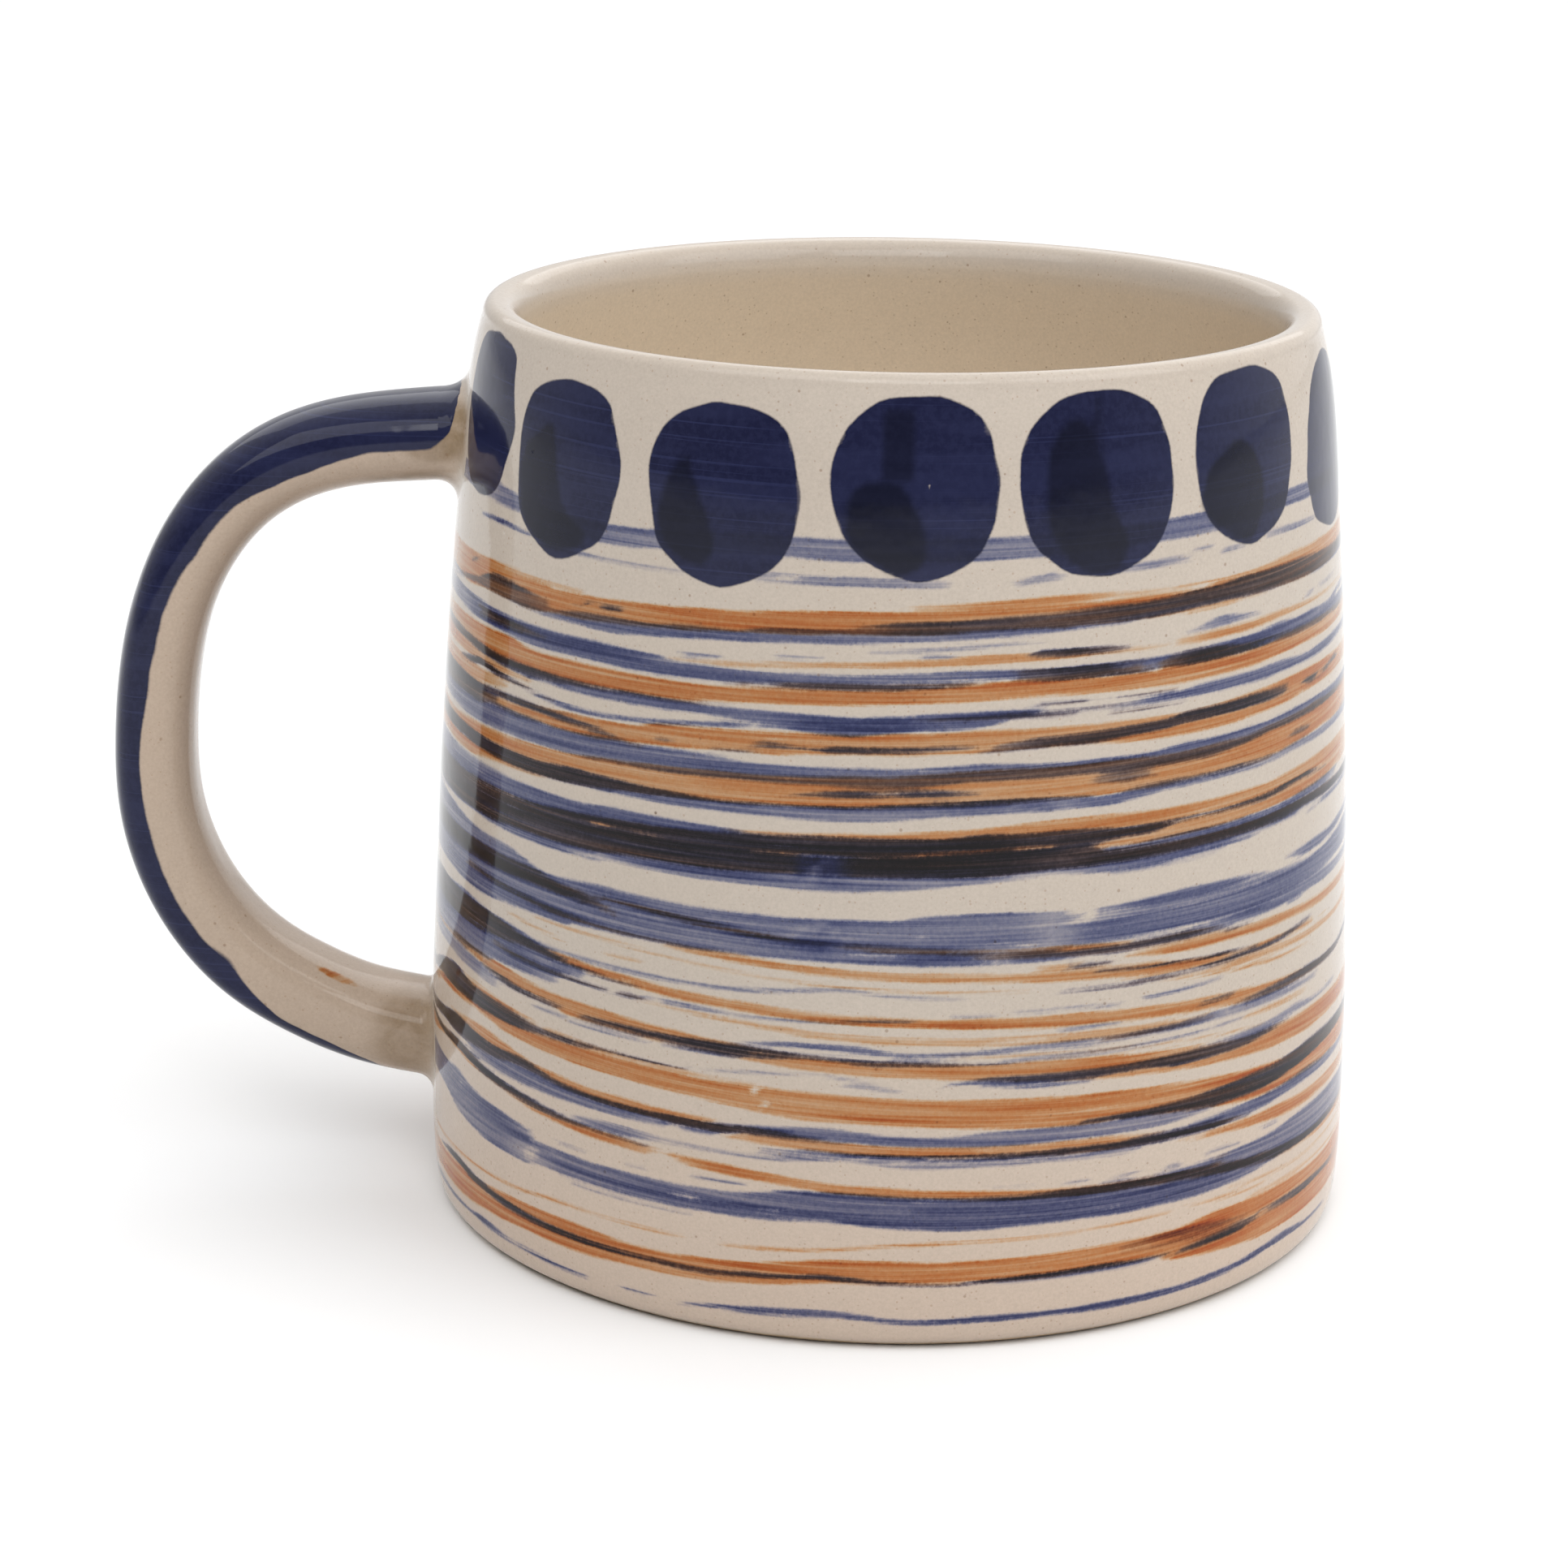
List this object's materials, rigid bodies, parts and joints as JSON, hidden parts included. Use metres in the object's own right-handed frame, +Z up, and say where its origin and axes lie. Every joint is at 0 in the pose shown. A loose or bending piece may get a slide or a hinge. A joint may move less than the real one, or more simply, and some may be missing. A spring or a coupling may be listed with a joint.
{
  "type": "stoneware mug",
  "caption": "Straight-sided stoneware drinking mug with a pulled loop handle, speckled cream glaze, dotted rim band and banded dry-brush painting.",
  "frame": {"origin": "centre of the foot ring, on the plane the mug stands on", "axes": "+Z up along the cup's axis; the handle's middle plane is XZ and the handle points along -X; +Y is the far side when the handle is on the left"},
  "size_m": [0.1304, 0.0974, 0.095],
  "materials": {
    "body_glaze": "glossy speckled cream glaze over blue, orange and charcoal underglaze brushwork; bare clay on the standing ring",
    "handle_glaze": "glossy speckled cream glaze with a blue brushed back",
    "joint_glaze": "glossy glaze pooled slightly thicker and browner in the corner"
  },
  "bodies": {
    "root": {"mug_body": "body_glaze", "handle": "handle_glaze", "upper_joint_slip": "joint_glaze", "lower_joint_slip": "joint_glaze"}
  },
  "joints": []
}
